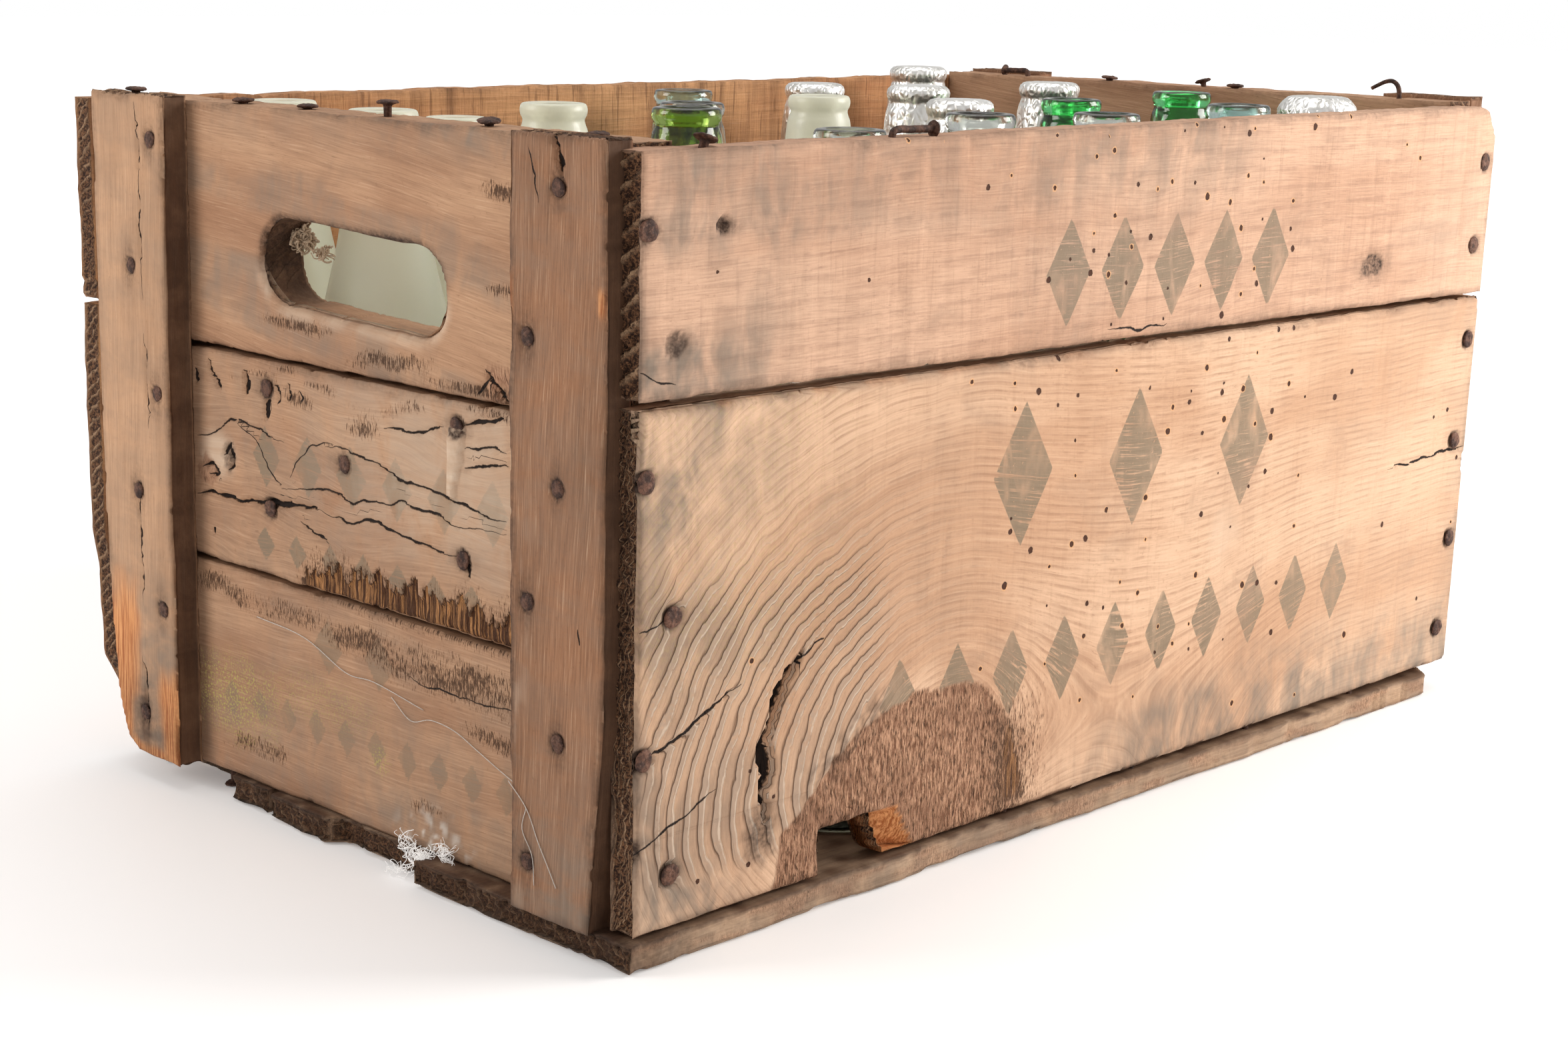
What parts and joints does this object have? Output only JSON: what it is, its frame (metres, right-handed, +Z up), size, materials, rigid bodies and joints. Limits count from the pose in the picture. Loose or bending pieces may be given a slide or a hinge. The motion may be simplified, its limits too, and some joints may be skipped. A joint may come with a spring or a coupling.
{
  "type": "bottle crate",
  "caption": "Nailed wooden crate with a hand hole in each end, carrying loose crown-finish glass bottles that lift out, some with foil over their mouths.",
  "frame": {"origin": "middle of the underside, on the surface that the crate stands on", "axes": "+X along the crate towards the end with the bent hook nail, -X towards the end with the split middle board, -Y towards the side with the half-round knot, +Z up"},
  "size_m": [0.5194, 0.313, 0.273],
  "materials": {
    "side_wood": "bare weathered sawn softwood",
    "end_wood": "bare weathered planed softwood",
    "cleat_wood": "bare weathered sawn softwood",
    "bottom_wood": "bare dirty sawn softwood",
    "rusty_iron": "rusty",
    "frosted_glass": "frosted",
    "clear_glass": "polished, dusty",
    "aqua_glass": "polished, dusty",
    "olive_glass": "polished, dusty",
    "emerald_glass": "polished, dusty",
    "crumpled_foil": "crumpled"
  },
  "bodies": {
    "crate": {"near_end_top_board": "end_wood", "near_end_middle_board": "end_wood", "near_end_bottom_board": "end_wood", "far_end_top_board": "end_wood", "far_end_middle_board": "end_wood", "far_end_bottom_board": "end_wood", "near_front_cleat": "cleat_wood", "near_back_cleat": "cleat_wood", "far_front_cleat": "cleat_wood", "far_back_cleat": "cleat_wood", "front_top_board": "side_wood", "front_lower_board": "side_wood", "back_top_board": "side_wood", "back_lower_board": "side_wood", "bottom_front_board": "bottom_wood", "bottom_middle_board": "bottom_wood", "bottom_back_board": "bottom_wood", "front_side_nails": "rusty_iron", "back_side_nails": "rusty_iron", "near_cleat_nails": "rusty_iron", "far_cleat_nails": "rusty_iron", "end_repair_nails": "rusty_iron", "bottom_nails": "rusty_iron", "lid_nails": "rusty_iron", "hook_nail": "rusty_iron"},
    "bottle_a3": {"bottle_a3": "frosted_glass"},
    "bottle_a4": {"bottle_a4": "frosted_glass"},
    "bottle_b1": {"bottle_b1": "clear_glass"},
    "bottle_b2": {"bottle_b2": "olive_glass"},
    "bottle_b3": {"bottle_b3": "frosted_glass"},
    "bottle_b4": {"bottle_b4": "frosted_glass"},
    "bottle_c1": {"bottle_c1": "clear_glass"},
    "bottle_c3": {"bottle_c3": "clear_glass"},
    "bottle_d1": {"bottle_d1": "clear_glass"},
    "bottle_d2": {"bottle_d2": "clear_glass", "foil_d2": "crumpled_foil"},
    "bottle_d3": {"bottle_d3": "frosted_glass"},
    "bottle_d4": {"bottle_d4": "aqua_glass"},
    "bottle_e1": {"bottle_e1": "aqua_glass"},
    "bottle_e2": {"bottle_e2": "emerald_glass"},
    "bottle_e3": {"bottle_e3": "clear_glass", "foil_e3": "crumpled_foil"},
    "bottle_e4": {"bottle_e4": "clear_glass", "foil_e4": "crumpled_foil"},
    "bottle_f1": {"bottle_f1": "clear_glass", "foil_f1": "crumpled_foil"},
    "bottle_f2": {"bottle_f2": "emerald_glass"},
    "bottle_f3": {"bottle_f3": "clear_glass", "foil_f3": "crumpled_foil"},
    "bottle_f4": {"bottle_f4": "clear_glass", "foil_f4": "crumpled_foil"}
  },
  "joints": [
    {"name": "lift_a3", "type": "slide", "parent": "crate", "child": "bottle_a3", "axis": [0, 0, 1], "range_m": [0, 0.28]},
    {"name": "lift_a4", "type": "slide", "parent": "crate", "child": "bottle_a4", "axis": [0, 0, 1], "range_m": [0, 0.28]},
    {"name": "lift_b1", "type": "slide", "parent": "crate", "child": "bottle_b1", "axis": [0, 0, 1], "range_m": [0, 0.28]},
    {"name": "lift_b2", "type": "slide", "parent": "crate", "child": "bottle_b2", "axis": [0, 0, 1], "range_m": [0, 0.28]},
    {"name": "lift_b3", "type": "slide", "parent": "crate", "child": "bottle_b3", "axis": [0, 0, 1], "range_m": [0, 0.28]},
    {"name": "lift_b4", "type": "slide", "parent": "crate", "child": "bottle_b4", "axis": [0, 0, 1], "range_m": [0, 0.28]},
    {"name": "lift_c1", "type": "slide", "parent": "crate", "child": "bottle_c1", "axis": [0, 0, 1], "range_m": [0, 0.28]},
    {"name": "lift_c3", "type": "slide", "parent": "crate", "child": "bottle_c3", "axis": [0, 0, 1], "range_m": [0, 0.28]},
    {"name": "lift_d1", "type": "slide", "parent": "crate", "child": "bottle_d1", "axis": [0, 0, 1], "range_m": [0, 0.28]},
    {"name": "lift_d2", "type": "slide", "parent": "crate", "child": "bottle_d2", "axis": [0, 0, 1], "range_m": [0, 0.28]},
    {"name": "lift_d3", "type": "slide", "parent": "crate", "child": "bottle_d3", "axis": [0, 0, 1], "range_m": [0, 0.28]},
    {"name": "lift_d4", "type": "slide", "parent": "crate", "child": "bottle_d4", "axis": [0, 0, 1], "range_m": [0, 0.28]},
    {"name": "lift_e1", "type": "slide", "parent": "crate", "child": "bottle_e1", "axis": [0, 0, 1], "range_m": [0, 0.28]},
    {"name": "lift_e2", "type": "slide", "parent": "crate", "child": "bottle_e2", "axis": [0, 0, 1], "range_m": [0, 0.28]},
    {"name": "lift_e3", "type": "slide", "parent": "crate", "child": "bottle_e3", "axis": [0, 0, 1], "range_m": [0, 0.28]},
    {"name": "lift_e4", "type": "slide", "parent": "crate", "child": "bottle_e4", "axis": [0, 0, 1], "range_m": [0, 0.28]},
    {"name": "lift_f1", "type": "slide", "parent": "crate", "child": "bottle_f1", "axis": [0, 0, 1], "range_m": [0, 0.28]},
    {"name": "lift_f2", "type": "slide", "parent": "crate", "child": "bottle_f2", "axis": [0, 0, 1], "range_m": [0, 0.28]},
    {"name": "lift_f3", "type": "slide", "parent": "crate", "child": "bottle_f3", "axis": [0, 0, 1], "range_m": [0, 0.28]},
    {"name": "lift_f4", "type": "slide", "parent": "crate", "child": "bottle_f4", "axis": [0, 0, 1], "range_m": [0, 0.28]}
  ]
}
